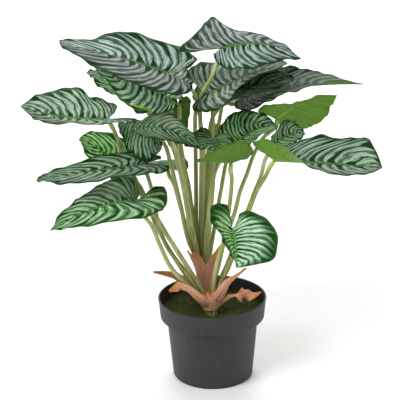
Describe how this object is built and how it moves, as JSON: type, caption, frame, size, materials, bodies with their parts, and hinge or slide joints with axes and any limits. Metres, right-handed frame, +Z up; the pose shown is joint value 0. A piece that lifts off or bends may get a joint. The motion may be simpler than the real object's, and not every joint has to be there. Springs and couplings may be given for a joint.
{
  "type": "potted peacock plant",
  "caption": "Leafy houseplant with patterned heart-shaped blades on long stalks, rooted in a round nursery pot of soil and moss.",
  "frame": {"origin": "centre of the pot's flat underside", "axes": "+Z up; -Y is the side first seen in the picture, +X is to its right"},
  "size_m": [0.465, 0.3199, 0.4967],
  "materials": {
    "pot_plastic": "matt moulded dark grey plastic",
    "soil": "loose dark potting soil",
    "moss": "dull short moss",
    "leaf": "satin leaf with silvery green bands between dark green veins, light green below",
    "stalk": "satin ribbed olive green",
    "sheath": "dry papery terracotta brown"
  },
  "bodies": {
    "root": {"front_stems": "stalk", "leaf_01": "leaf", "leaf_02": "leaf", "leaf_03": "leaf", "leaf_04": "leaf", "leaf_05": "leaf", "leaf_06": "leaf", "leaf_07": "leaf", "leaf_08": "leaf", "leaf_09": "leaf", "leaf_10": "leaf", "leaf_11": "leaf", "leaf_12": "leaf", "leaf_13": "leaf", "leaf_14": "leaf", "leaf_15": "leaf", "leaf_16": "leaf", "leaf_17": "leaf", "leaf_18": "leaf", "leaf_19": "leaf", "leaf_20": "leaf", "leaf_21": "leaf", "leaf_22": "leaf", "leaf_23": "leaf", "leaf_24": "leaf", "leaf_25": "leaf", "moss": "moss", "pot": "pot_plastic", "rear_stems": "stalk", "sheath_front_back": "sheath", "sheath_front_left": "sheath", "sheath_front_low": "sheath", "sheath_front_middle": "sheath", "sheath_front_right": "sheath", "sheath_rear_left": "sheath", "sheath_rear_right": "sheath", "soil": "soil"}
  },
  "joints": []
}
